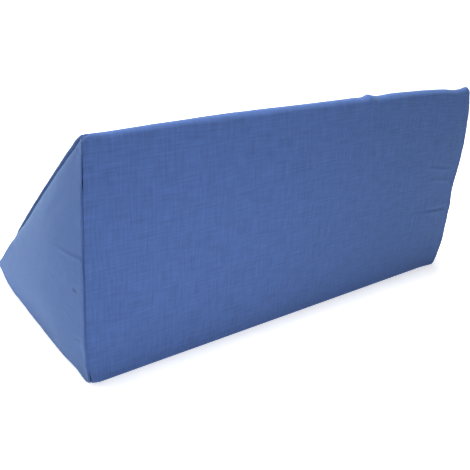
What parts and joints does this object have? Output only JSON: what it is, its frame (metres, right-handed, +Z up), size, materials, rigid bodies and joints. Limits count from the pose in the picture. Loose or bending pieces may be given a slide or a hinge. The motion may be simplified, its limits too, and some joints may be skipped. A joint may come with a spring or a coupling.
{
  "type": "triangle positioning pillow",
  "caption": "Right-angled foam wedge in a sewn cloth cover, laid beside or under a person to hold a position.",
  "frame": {"origin": "middle of the bounding box's bottom, on the surface that the pillow stands on", "axes": "+X along the pillow from its near end to its far end, +Y from the upright front face back to the thin edge, +Z up"},
  "size_m": [0.5162, 0.2476, 0.2428],
  "materials": {
    "cover_cloth": "matte plain weave"
  },
  "bodies": {
    "root": {"filled_wrap": "cover_cloth", "end_panel_near": "cover_cloth", "end_panel_far": "cover_cloth"}
  },
  "joints": []
}
